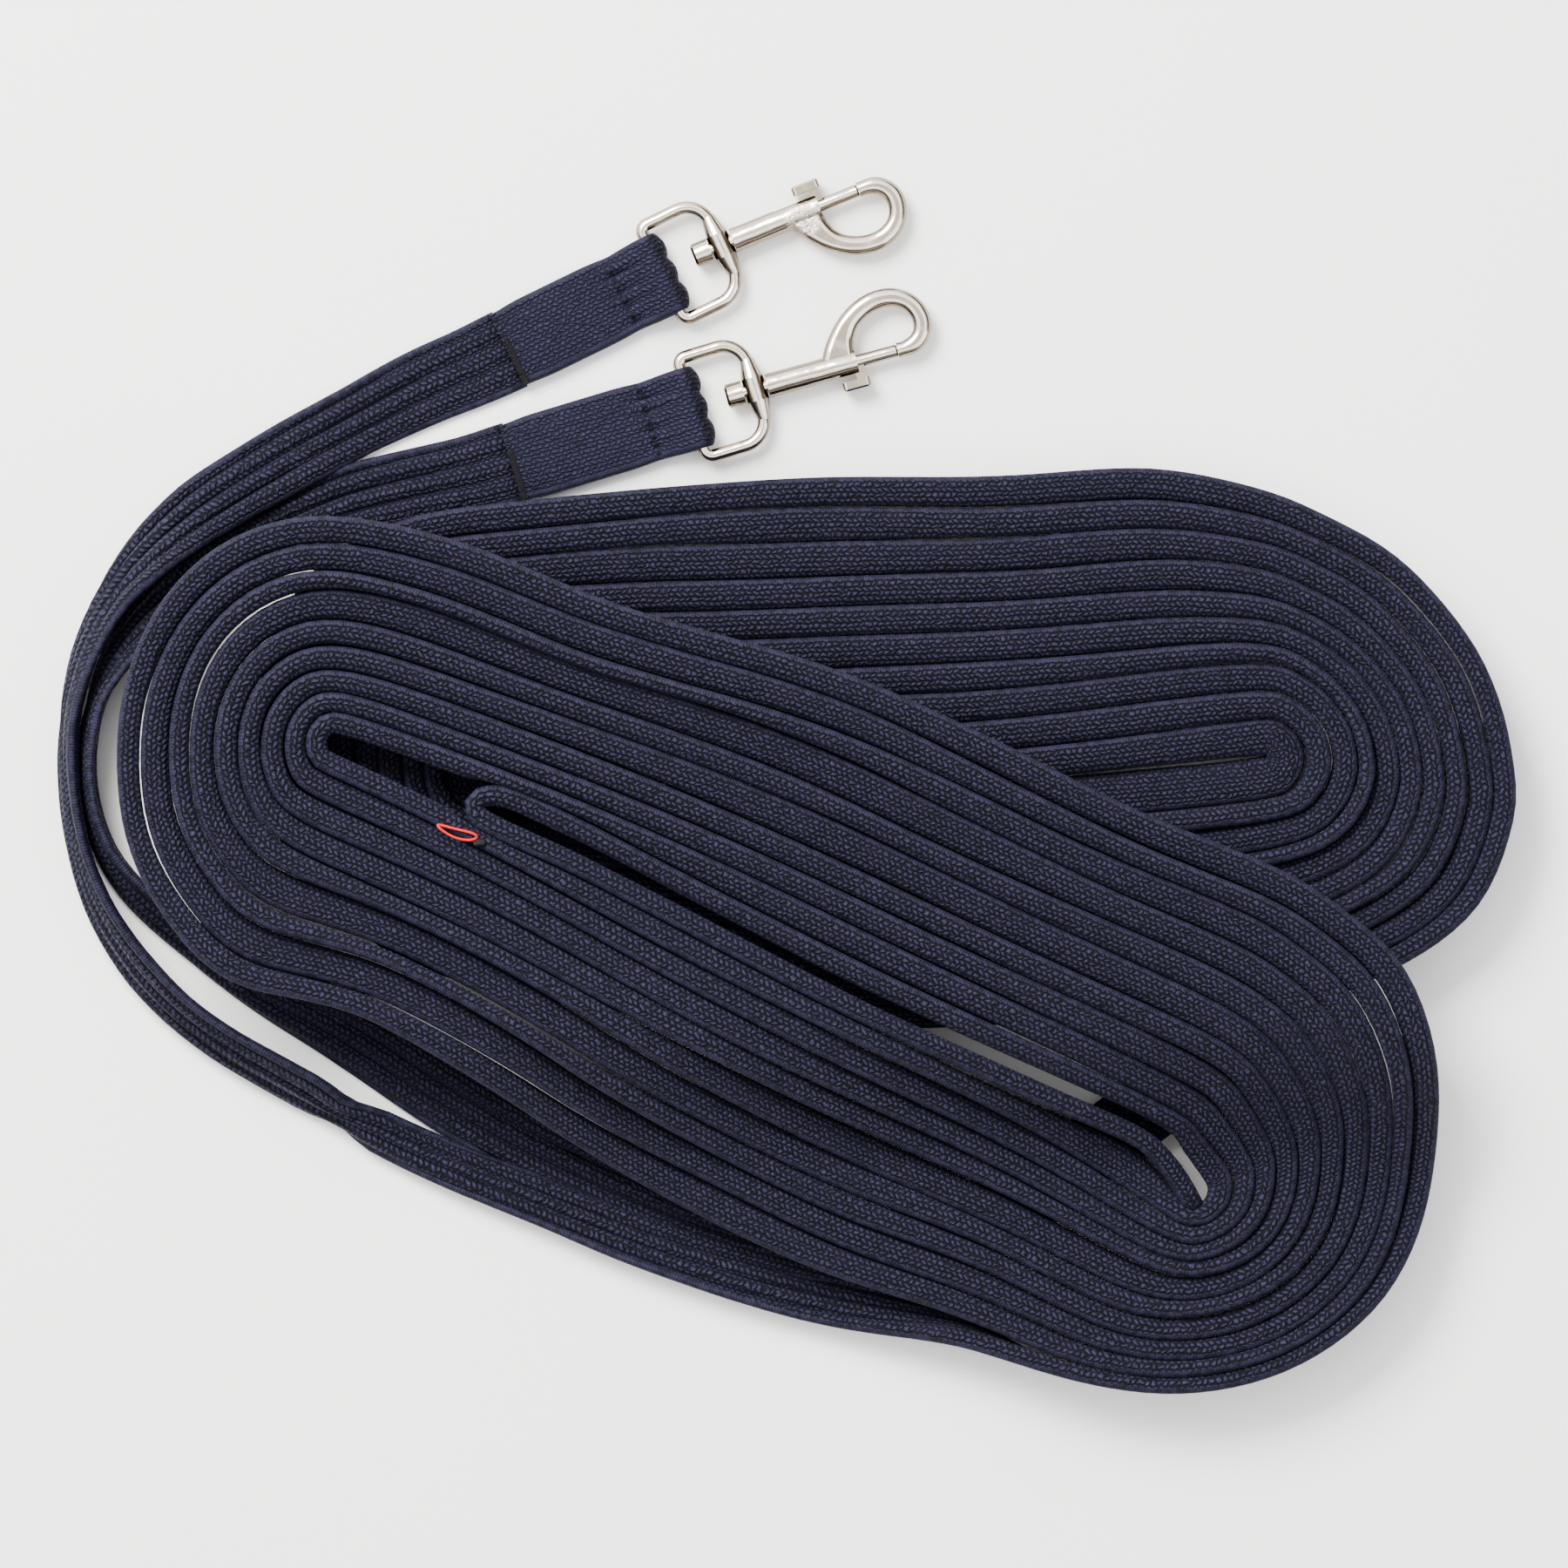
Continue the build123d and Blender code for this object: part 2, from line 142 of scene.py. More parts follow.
BED_FOOT = -118 * MM                    # y where the front coil leaves the floor
BED_CLIMB = 52 * MM                     # and how much further it reaches the back coil's top
DROOP_FROM = 158 * MM                   # its left end sags from this far left of the middle
DROOP_LENGTH = 45 * MM
DROOP = 5 * MM


# --- small curve tools ------------------------------------------------------------------------
def smoothstep(x):
    x = np.clip(x, 0.0, 1.0)
    return x * x * (3 - 2 * x)


def table(rows, x):
    return float(np.interp(x, [r[0] for r in rows], [r[1] for r in rows]))


def catmull(points, t):
    """Closed Catmull-Rom curve through points, at t in turns."""
    n = len(points)
    x = (t % 1.0) * n
    i = int(x)
    s = x - i
    p0, p1, p2, p3 = (np.array(points[(i + k) % n], float) for k in (-1, 0, 1, 2))
    return 0.5 * (2 * p1 + (p2 - p0) * s + (2 * p0 - 5 * p1 + 4 * p2 - p3) * s * s
                  + (3 * p1 - p0 - 3 * p2 + p3) * s ** 3)


def nearest_on_line(line, p):
    best = None
    for a, b in zip(line, line[1:]):
        a, b = np.array(a, float), np.array(b, float)
        s = np.clip(np.dot(p - a, b - a) / np.dot(b - a, b - a), 0, 1)
        q = a + s * (b - a)
        d = np.linalg.norm(p - q)
        if best is None or d < best[0]:
            best = (d, q)
    return best[1]


def core_loop(coil):
    """The last turn's outer side: a radius away from the core, towards each ridge point."""
    loop = []
    for p in coil["ridge"]:
        p = np.array(p, float)
        q = nearest_on_line(coil["core"], p)
        loop.append(q + table(coil["core_r"], q[0]) * (p - q) / np.linalg.norm(p - q))
    return loop


def wave(x, y, seed, scale):
    """Smooth noise between about -1 and 1, which changes over about one scale."""
    return noise.noise(Vector((x / scale + 7.3 * seed, y / scale - 3.1 * seed, seed * 1.7)))


def drape(x, y):
    """Height of the front coil's bed: down on the floor, or up on the back coil."""
    up = smoothstep((y - BED_FOOT) / BED_CLIMB)
    droop = DROOP * smoothstep((-x - DROOP_FROM) / DROOP_LENGTH)
    return COIL_RISE * up - droop * up


def coil_ridge(coil):
    """Plan position of the ridge along the whole coil, and the share of the way in."""
    inner = core_loop(coil)
    count = int(coil["turns"] * POINTS_PER_TURN)
    rows = []
    for k in range(count + 1):
        turn = k / POINTS_PER_TURN
        share = turn / coil["spread"]
        p = catmull(coil["ridge"], turn) * (1 - share) + catmull(inner, turn) * share
        # in mm: one sway that neighbouring turns share in part, and two of each turn's own
        sway = 1.2 * wave(p[0] + 150 * turn, p[1], coil["seed"], 80)
        sway += 2.3 * wave(47 * turn, 0.2 * p[0], coil["seed"] + 1, 37)
        sway += 0.8 * wave(61 * turn, 0.7 * p[0], coil["seed"] + 2, 37)
        q = nearest_on_line(coil["core"], p)
        out = (p - q) / np.linalg.norm(p - q)
        fade = min(1.0, turn / SWAY_FROM, max(0.0, SWAY_UNTIL - turn))
        p = p + out * sway * fade
        rows.append((p[0] * MM, p[1] * MM, share))
    rows = np.array(rows)
    first, last = SMOOTHED_SHARES
    inside = smoothstep((rows[:, 2] - first) / (last - first))
    for axis in (0, 1):
        rows[:, axis] += inside * (smooth(rows[:, axis], 3) - rows[:, axis])
    return rows


def plan_normals(points):
    """Outward normals in plan, to the right of the way the line runs."""
    tangent = np.gradient(points[:, :2], axis=0)
    tangent /= np.linalg.norm(tangent, axis=1)[:, None]
    return np.stack([tangent[:, 1], -tangent[:, 0]], axis=1)


def nurbs_line(points, name):
    """The points that a NURBS spline with these control points gives."""
    data = bpy.data.curves.new(name, "CURVE")
    data.dimensions = "3D"
    data.resolution_u = 4
    spline = data.splines.new("NURBS")
    spline.points.add(len(points) - 1)
    for place, p in zip(spline.points, points):
        place.co = (p[0], p[1], p[2], 1.0)
    spline.order_u = 3
    spline.use_endpoint_u = True
    carrier = bpy.data.objects.new(name, data)
    bpy.context.collection.objects.link(carrier)
    mesh = bpy.data.meshes.new_from_object(
        carrier.evaluated_get(bpy.context.evaluated_depsgraph_get()))
    line = np.array([v.co[:] for v in mesh.vertices])
    bpy.data.objects.remove(carrier)
    bpy.data.curves.remove(data)
    bpy.data.meshes.remove(mesh)
    return line


def lengths_along(line):
    return np.concatenate([[0.0], np.cumsum(np.linalg.norm(np.diff(line, axis=0), axis=1))])


def curvature_radius(line):
    first = np.gradient(line[:, :2], axis=0)
    second = np.gradient(first, axis=0)
    cross = np.abs(first[:, 0] * second[:, 1] - first[:, 1] * second[:, 0])
    return np.linalg.norm(first, axis=1) ** 3 / np.maximum(cross, 1e-12)


def resample(line, coarse, fine):
    """Even steps along a line, shorter where it bends tightly: about a sixth of the radius."""
    along = lengths_along(line)
    radius = np.clip(curvature_radius(line) * 0.17, fine, coarse)
    density = np.concatenate([[0.0], np.cumsum(np.diff(along) / radius[1:])])
    count = int(density[-1]) + 1
    at = np.interp(np.linspace(0, density[-1], count), density, along)
    return np.stack([np.interp(at, along, line[:, k]) for k in range(3)], axis=1), at


def smooth(values, passes):
    values = np.array(values, float)
    for _ in range(passes):
        values[1:-1] = 0.25 * values[:-2] + 0.5 * values[1:-1] + 0.25 * values[2:]
    return values


# --- the web's section -------------------------------------------------------------------------
CENTRE_WIDTH = WEB_WIDTH - WEB_T
FREE_PITCH = 6.5 * MM       # width of a turn with nothing inside it
LEAST_PITCH = 4.6 * MM
MOST_PITCH = 13 * MM
ACROSS = np.concatenate([np.linspace(0.0, 9.9, 12), np.linspace(11.3, 22.6, 9)]) * MM
CROWN_PLACES = (0.0, 0.16, 0.40, 0.66, 0.84, 1.0)        # shares of the crown's width
CROWN_SLOPES = (-0.42, -0.10, 0.09, 0.25, 0.56)          # radians; the wall's slope comes last
CROWN_BEND = 0.9 * MM                                    # from the crown's end to the wall
WALL_SLOPE = 97             # degrees: the wall's foot stands outward, under the crown
WALL_SLOPE_LOST = 3         # where the turn is tight
PROFILE_STEPS = 90


def standing_profile(pitch, gap, radius):
    """Centre curve of a turn on edge: a rounded crown, then a wall down to what it lies on."""
    reach = pitch - WEB_T - gap
    tight = 1 - float(smoothstep((radius / MM - 9) / 30))
    if pitch == FREE_PITCH:
        tight = 0.3
    upright = math.radians(WALL_SLOPE - WALL_SLOPE_LOST * tight)
    step = CENTRE_WIDTH / PROFILE_STEPS
    w = (np.arange(PROFILE_STEPS) + 0.5) * step
    face = reach * 1.02
    for _ in range(4):      # each pass brings the crown's width in plan closer to the reach
        places = np.array(CROWN_PLACES) * face
        places[-1] = face + CROWN_BEND
        angle = np.interp(w, places, [*CROWN_SLOPES, upright])
        across = np.cumsum(np.cos(angle)) * step
        done = np.interp(face + CROWN_BEND, w, across)
        face *= max(0.4, reach / done)
    a = np.concatenate([[0], np.cumsum(-np.cos(angle) * step)]) - WEB_T / 2
    b = np.concatenate([[0], np.cumsum(-np.sin(angle) * step)])
    b = b - b.min() + WEB_T / 2
    base = np.linspace(0, CENTRE_WIDTH, PROFILE_STEPS + 1)
    return np.stack([np.interp(ACROSS, base, a) + INSET, np.interp(ACROSS, base, b)], axis=1)


def lying_profile(narrow, tilt, folds, phase):
    """Centre curve of free web: lengthwise folds narrow it, and it tilts about its own line."""
    half = CENTRE_WIDTH / 2
    u = 1 - ACROSS / half
    depth = 0.5 * math.sqrt(max(0.0, 1 / narrow - 1)) * WEB_WIDTH * narrow / folds
    a = u * half * narrow
    b = depth * np.cos(math.pi * folds * u + phase) * (1 - 0.3 * u ** 2)
    c, s = math.cos(tilt), math.sin(tilt)
    return np.stack([a * c - b * s, a * s + b * c], axis=1)


def skin(profile, thickness):
    """Closed outline of the web round its centre curve, and how far across each point is."""
    direction = np.gradient(profile, axis=0)
    direction /= np.linalg.norm(direction, axis=1)[:, None]
    normal = np.stack([direction[:, 1], -direction[:, 0]], axis=1)
    half = thickness / 2
    upper = profile - normal * half
    lower = profile + normal * half
    across = CENTRE_WIDTH / 2 - ACROSS
    points, sides = list(upper), list(across)
    for k in range(1, EDGE_STEPS + 1):
        turn = math.pi * k / (EDGE_STEPS + 1)
        points.append(profile[-1] + half * (-normal[-1] * math.cos(turn)
                                            + direction[-1] * math.sin(turn)))
        sides.append(across[-1] - half * math.sin(turn))
    points += list(lower[::-1])
    sides += list(across[::-1])
    for k in range(1, EDGE_STEPS + 1):
        turn = math.pi * k / (EDGE_STEPS + 1)
        points.append(profile[0] + half * (normal[0] * math.cos(turn)
                                           - direction[0] * math.sin(turn)))
        sides.append(across[0] + half * math.sin(turn))
    return np.array(points), np.array(sides)


def mesh_piece(name, mesh):
    """A piece with its faces turned outward."""
    work = bmesh.new()
    work.from_mesh(mesh)
    bmesh.ops.recalc_face_normals(work, faces=work.faces)
    work.to_mesh(mesh)
    work.free()
    mesh.polygons.foreach_set("use_smooth", [True] * len(mesh.polygons))
    piece = bpy.data.objects.new(name, mesh)
    bpy.context.collection.objects.link(piece)
    return piece


def ribbon_mesh(name, rings, across, along):
    """A closed web from its rings of points, with its length and width as UVs."""
    rows, ring = rings.shape[:2]
    mesh = bpy.data.meshes.new(name)
    faces = []
    for i in range(rows - 1):
        for j in range(ring):
            k = (j + 1) % ring
            faces.append((i * ring + j, i * ring + k, (i + 1) * ring + k, (i + 1) * ring + j))
    faces.append(tuple(range(ring))[::-1])
    last = (rows - 1) * ring
    faces.append(tuple(range(last, last + ring)))
    mesh.from_pydata(rings.reshape(-1, 3).tolist(), [], faces)
    uv_of = np.stack([np.repeat(along, ring), across.reshape(-1)], axis=1)
    corners = np.zeros(len(mesh.loops), dtype=np.int32)
    mesh.loops.foreach_get("vertex_index", corners)
    layer = mesh.uv_layers.new(name="web")
    layer.data.foreach_set("uv", uv_of[corners].astype(np.float32).reshape(-1))
    return mesh_piece(name, mesh)


# --- a whole rein: leg and coil -----------------------------------------------------------------
LEG_OVERLAP = 1.5 * MM      # the leg starts this far inside the sewn end
LEG_STRAIGHT = 11 * MM      # and runs straight this far out of it
BED_BUMPS = 0.5 * MM        # unevenness of the back coil under the front one
SAME_TURN = 12              # stations along the web that aren't looked at for the next turn in
SAME_TURN_AT_HOLE = 90
TURN_STATIONS = 420         # more stations than any turn has
FACING = 4 * MM             # the next turn is looked for this close to straight across
NOT_ITSELF = 3 * MM         # and no nearer than this


def clip_frame(clip):
    """Bar centre and the unit directions along and across the eye."""
    yaw = math.radians(clip["eye_yaw"])
    along = np.array([math.cos(yaw), math.sin(yaw), 0.0])
    across = np.array([-math.sin(yaw), math.cos(yaw), 0.0])
    bar = np.array([clip["boss"][0], clip["boss"][1], SNAP_Z]) - EYE_DEPTH * along
    return bar, along, across


def sewn_end(clip, back=0.0):
    """Where the web leaves its sewn end, or a place further back along it."""
    bar, along, _ = clip_frame(clip)
    end = bar - (clip["sewn"] + back) * along
    return np.array([end[0], end[1], FLOOR_GAP + SEWN_T / 2])


# along each leg, in metres from the sewn end: tilt in degrees, and share of the width left
TILT_A = [(0.0, 0), (0.05, 4), (0.10, -20), (0.140, -62), (0.18, -79), (0.220, -74), (0.26, -60),
          (0.330, -56), (0.345, -14), (0.37, 0), (0.44, 8), (0.50, 16), (0.56, 34), (0.62, 60)]
TILT_B = [(0.0, 0), (0.06, -3), (0.10, -18), (0.13, -60), (0.15, -80), (0.195, -76), (0.235, -58),
          (0.262, -32), (0.29, -10), (0.33, 0), (0.52, 4), (0.58, 25), (0.64, 60)]
NARROW_A = [(0.0, 0.985), (0.012, 0.95), (0.05, 0.84), (0.12, 0.80), (0.2, 0.86), (0.322, 0.84),
            (0.334, 0.42), (0.342, 0.50), (0.38, 0.51), (0.44, 0.62), (0.5, 0.72), (0.6, 0.95),
            (0.7, 1.0)]
NARROW_B = [(0.0, 0.985), (0.012, 0.95), (0.05, 0.84), (0.12, 0.80), (0.2, 0.86), (0.4, 0.86),
            (0.5, 0.78), (0.6, 0.95), (0.7, 1.0)]
NARROWS = {"a": NARROW_A, "b": NARROW_B}
TILTS = {"a": TILT_A, "b": TILT_B}
LEG_FOLDS = 3.4
FOLD_DRIFT = 18.0           # radians of shift of the folds, for each metre
RISE_BEFORE = 0.05          # the web starts to stand up this far before its coil
RISE_LENGTH = 0.09


def sections(key, line, along, start):
    """Centre curve of the web at each station, its lowest point at zero."""
    coil = COILS[key]
    pitch = pitch_to_next(coil, line, start)
    free = pitch == FREE_PITCH
    pitch = np.where(free, FREE_PITCH, smooth(pitch, 3))
    radius = np.minimum(smooth(curvature_radius(line), 2) + INSET, 0.2)
    profiles = []
    for i, s in enumerate(along):
        blend = float(smoothstep((s - along[start] + RISE_BEFORE) / RISE_LENGTH))
        profile = 0
        if blend < 1:
            ripple = 0.04 * wave(s * 1000, 0, coil["seed"], 37)
            narrow = min(0.985, table(NARROWS[key], s) + ripple)
            tilt = math.radians(table(TILTS[key], s))
            lying = lying_profile(narrow, tilt, LEG_FOLDS, FOLD_DRIFT * s)
            lying[:, 1] -= lying[:, 1].min() - WEB_T / 2
            profile = lying * (1 - blend)
        if blend > 0:
            x, y = line[i, :2] * 1000
            gap = 0.15 * MM + 0.9 * MM * max(0.0, wave(x * 0.6, y + 31 * s, coil["seed"] + 3, 40))
            profile = profile + standing_profile(pitch[i], gap, radius[i]) * blend
        profiles.append(profile)
    return np.array(profiles)


def middle_heights(profiles):
    return (profiles[:, :, 1].max(axis=1) + profiles[:, :, 1].min(axis=1)) / 2


def make_rein(key):
    """One web from its sewn end to the core of its coil, with its centre line and length."""
    coil = COILS[key]
    clip = CLIPS[key]
    ridge = coil_ridge(coil)
    middle = ridge[:, :2] - plan_normals(ridge) * INSET
    coil_points = [(x, y, 0.0) for x, y in middle]
    coil_points += [(x * MM, y * MM, 0.0) for x, y in coil["tongue"]]
    straight = [tuple(sewn_end(clip, back)[:2]) + (0.0,) for back in (-LEG_OVERLAP, LEG_STRAIGHT)]
    control = np.array(straight + coil["leg"] + coil_points)
    leg_count = len(straight) + len(coil["leg"])

    # first in plan: the section's height at each control point gives its height on the bed
    flat = control * (1, 1, 0)
    line, along = resample(nurbs_line(flat, f"rein_{key}_plan"), *STATION_STEPS)
    start = int(np.argmin(np.linalg.norm(line - flat[leg_count], axis=1)))
    profiles = sections(key, line, along, start)
    middle_height = middle_heights(profiles)
    at = 0
    for k, point in enumerate(control):
        at += int(np.argmin(np.linalg.norm(line[at:at + 60, :2] - point[:2], axis=1)))
        bed = point[2]
        if coil["lies_on_other"] and k >= leg_count:
            bed += drape(point[0], point[1])
            bed += BED_BUMPS * (1 + wave(point[0] * 1000 + 0.3 * k, point[1] * 1000, 5, 60))
        control[k, 2] = FLOOR_GAP + bed + middle_height[at]

    line, along = resample(nurbs_line(control, f"rein_{key}_route"), *STATION_STEPS)
    start = int(np.argmin(np.linalg.norm(line[:, :2] - control[leg_count, :2], axis=1)))
    profiles = sections(key, line, along, start)
    middle_height = middle_heights(profiles)
    tangent = np.gradient(line, axis=0)
    tangent /= np.linalg.norm(tangent, axis=1)[:, None]
    out = np.cross(tangent, UP)
    out /= np.linalg.norm(out, axis=1)[:, None]
    up = np.cross(out, tangent)
    rings, across_rows = [], []
    for i, profile in enumerate(profiles):
        outline, sides = skin(profile - (0, middle_height[i]), WEB_T)
        rings.append(line[i] + outline[:, :1] * out[i] + outline[:, 1:] * up[i])
        across_rows.append(sides)
    rings = np.array(rings)
    rings[:, :, 2] = np.maximum(rings[:, :, 2], FLOOR_GAP)
    piece = ribbon_mesh(f"rein_{key}_web", rings, np.array(across_rows), along)
    return piece, line, along[-1]


def pitch_to_next(coil, line, start):
    """Room in plan for each station of the coil: as far as the turn inside it, or the core."""
    count = len(line)
    pitch = np.full(count, FREE_PITCH)
    tangent = np.gradient(line[:, :2], axis=0)
    tangent /= np.linalg.norm(tangent, axis=1)[:, None]
    inward = np.stack([-tangent[:, 1], tangent[:, 0]], axis=1)
    core = [(x * MM, y * MM) for x, y in coil["core"]]
    for i in range(start, count):
        first = i + (SAME_TURN_AT_HOLE if line[i, 0] < coil["hole_to"] else SAME_TURN)
        gap = line[first:min(count, i + TURN_STATIONS), :2] - line[i, :2]
        side = gap @ inward[i]
        run = np.abs(gap @ tangent[i])
        near = (run < FACING) & (side > NOT_ITSELF) & (side < MOST_PITCH)
        if near.any():
            pitch[i] = side[near].min()
        if coil["closed_core"]:
            room = np.linalg.norm(line[i, :2] - nearest_on_line(core, line[i, :2])) + INSET
            pitch[i] = min(room, pitch[i] if near.any() else room)
    return np.clip(pitch, LEAST_PITCH, MOST_PITCH)


# --- sewn clip ends -----------------------------------------------------------------------------
LAYER_Z = FLOOR_GAP + SEWN_T / 2 - SNAP_Z        # middle of the lower layer, from the bar's centre
UPPER_Z = LAYER_Z + SEWN_T + 0.05 * MM
WRAP_R = BAR_R + 0.15 * MM + SEWN_T / 2
LOBES = 3                                        # bulges of the web's fold round the bar
LOBE_DEPTH = 1.3 * MM
TUCKS = 5                                        # gathers along the cross stitch
TUCK_DEPTH = 0.9 * MM
DENT_DEPTH = 1.1 * MM                            # how far the cross stitch sinks in
DENT_REACH = 1.3 * MM
BOX_Y = 9.2 * MM                                 # half width of the box stitch
BOX_MARGIN = 4 * MM                              # from it to the tail and to the loop's stitch
BOX_DEPTH = 0.35 * MM
LOOP_STITCH_Y = 10.8 * MM                        # half width of the loop's stitch
TACK_Y = 11.4 * MM                               # and of the bar tack
TACK_BACK = 1.6 * MM                             # from the tail to the middle of the bar tack
THREAD_R = 0.27 * MM


def upper_rise(x):
    """Height of the upper layer's middle: down from over the bar to the lower layer."""
    return UPPER_Z + (WRAP_R - UPPER_Z) * float(smoothstep(1 - x / LOOP_STITCH_X)) ** 1.25


def pucker(x, y, seed):
    """How far the upper layer's surface stands off its plain shape round the cross stitch."""
    off = x - LOOP_STITCH_X
    dent = -DENT_DEPTH * math.exp(-(off / DENT_REACH) ** 2)
    reach = 5.5 * MM if off > 0 else 2.5 * MM
    tuck = math.sin(2 * math.pi * TUCKS * y / WEB_WIDTH + 0.9 * seed + 40 * off * y / MM / 25)
    tuck += 0.5 * math.sin(2 * math.pi * 8.3 * y / WEB_WIDTH + seed)
    box = -BOX_DEPTH * math.exp(-((abs(y) - BOX_Y) / (0.7 * MM)) ** 2) * (off < -BOX_MARGIN)
    return dent + TUCK_DEPTH * tuck * math.exp(-abs(off) / reach) + box


def clip_stations(sewn):
    """Centre line of the doubled web, from the sewn end round the bar to the tail."""
    rows = []
    for x in np.linspace(-sewn, 0, 26):
        rows.append((x, LAYER_Z + (LAYER_Z + WRAP_R) * -float(smoothstep(1 + x / 0.008)), "low"))
    for turn in np.linspace(-80, 80, 15):
        r = math.radians(turn)
        rows.append((WRAP_R * math.cos(r), WRAP_R * math.sin(r), "wrap"))
    for x in np.concatenate([np.linspace(0, 2 * LOOP_STITCH_X, 52),
                             np.linspace(2 * LOOP_STITCH_X, -sewn + 0.6 * MM, 22)[1:]]):
        rows.append((x, upper_rise(x), "high"))
    return rows


def clip_width(x, sewn):
    """The web pulls in a little at its cross stitch and at its bar tack."""
    at_stitch = 0.035 * math.exp(-((x - LOOP_STITCH_X) / (5 * MM)) ** 2)
    at_tack = 0.05 * math.exp(-((x + sewn - TACK_BACK) / (5 * MM)) ** 2)
    return 0.99 - at_stitch - at_tack


def to_part(clip, x, y, z):
    """A place in the part from one along, across and above the eye's bar."""
    bar, along, across = clip_frame(clip)
    return bar + along * x + across * y + UP * z


def make_clip_end(key):
    """The web turned back on itself round the eye's bar, puckered at its stitches."""
    clip = CLIPS[key]
    sewn = clip["sewn"]
    seed = COILS[key]["seed"]
    rows = clip_stations(sewn)
    centre = np.array([(x, z) for x, z, _ in rows])
    tangent = np.gradient(centre, axis=0)
    tangent /= np.linalg.norm(tangent, axis=1)[:, None]
    along = np.concatenate([[0], np.cumsum(np.linalg.norm(np.diff(centre, axis=0), axis=1))])
    half = CENTRE_WIDTH / 2
    rings, across_rows = [], []
    for (x, z, where), t in zip(rows, tangent):
        outward = np.array([t[1], -t[0]])
        u = (half - ACROSS) * clip_width(x, sewn)
        b = np.zeros(len(u))
        if where == "wrap":
            b = LOBE_DEPTH * (np.abs(np.sin(math.pi * LOBES * (u / half + 1) / 2)) - 0.75)
            b *= max(0.0, outward[0]) ** 1.5
        if where == "high":
            b = np.array([pucker(x, y, seed) for y in u]) * float(smoothstep(-x / 0.004))
        outline, sides = skin(np.stack([u, b], axis=1), SEWN_T)
        ring = [to_part(clip, x + outward[0] * q, y, z + outward[1] * q) for y, q in outline]
        rings.append(ring)
        across_rows.append(sides)
    outermost = int(centre[:, 0].argmax())
    along = along - along[outermost] + LOOP_END_U
    return ribbon_mesh(f"rein_{key}_sewn_end", np.array(rings), np.array(across_rows), along)


def tube_rings(points, radius, sides=7, taper=True):
    """Rings of a thread through its points, drawn in at its ends."""
    points = np.array(points)
    tangent = np.gradient(points, axis=0)
    tangent /= np.linalg.norm(tangent, axis=1)[:, None]
    side = np.cross(tangent, UP)
    side /= np.maximum(np.linalg.norm(side, axis=1), 1e-9)[:, None]
    top = np.cross(side, tangent)
    rings = []
    for k, p in enumerate(points):
        at_end = taper and k in (0, len(points) - 1)
        r = radius * (0.45 if at_end else 1.0)
        ring = [p + r * (side[k] * math.cos(2 * math.pi * j / sides)
                         + top[k] * math.sin(2 * math.pi * j / sides)) for j in range(sides)]
        rings.append(ring)
    return rings


def threads_mesh(name, runs, radius, closed=False, sides=7):
    """Many short threads in one piece."""
    verts, faces = [], []
    for points in runs:
        rings = tube_rings(points, radius, sides, taper=not closed)
        base = len(verts)
        count = len(rings)
        for ring in rings:
            verts.extend(tuple(p) for p in ring)
        for i in range(count if closed else count - 1):
            n = (i + 1) % count
            for j in range(sides):
                k = (j + 1) % sides
                faces.append((base + i * sides + j, base + i * sides + k,
                              base + n * sides + k, base + n * sides + j))
        if not closed:
            faces.append(tuple(range(base, base + sides))[::-1])
            last = base + (count - 1) * sides
            faces.append(tuple(range(last, last + sides)))
    mesh = bpy.data.meshes.new(name)
    mesh.from_pydata(verts, [], faces)
    return mesh_piece(name, mesh)


def stitch(clip, seed, start, end, proud):
    """One stitch on the upper layer, its ends sunk in the web."""
    points = []
    for k in range(5):
        t = k / 4
        x = start[0] + (end[0] - start[0]) * t
        y = start[1] + (end[1] - start[1]) * t
        z = upper_rise(x) + pucker(x, y, seed) + SEWN_T / 2
        z += proud * (math.sin(math.pi * t) - 0.7)
        points.append(to_part(clip, x, y, z))
    return points


def seam(clip, seed, start, end, pitch, proud, draw):
    """A run of stitches from start to end."""
    span = math.hypot(end[0] - start[0], end[1] - start[1])
    count = max(1, int(span / pitch))
    runs = []
    for k in range(count):
        a, b = (k + 0.12) / count, (k + 0.88) / count
        wobble = draw.uniform(-0.12, 0.12) * MM
        p = (start[0] + (end[0] - start[0]) * a + wobble, start[1] + (end[1] - start[1]) * a)
        q = (start[0] + (end[0] - start[0]) * b + wobble, start[1] + (end[1] - start[1]) * b)
        runs.append(stitch(clip, seed, p, q, proud))
    return runs


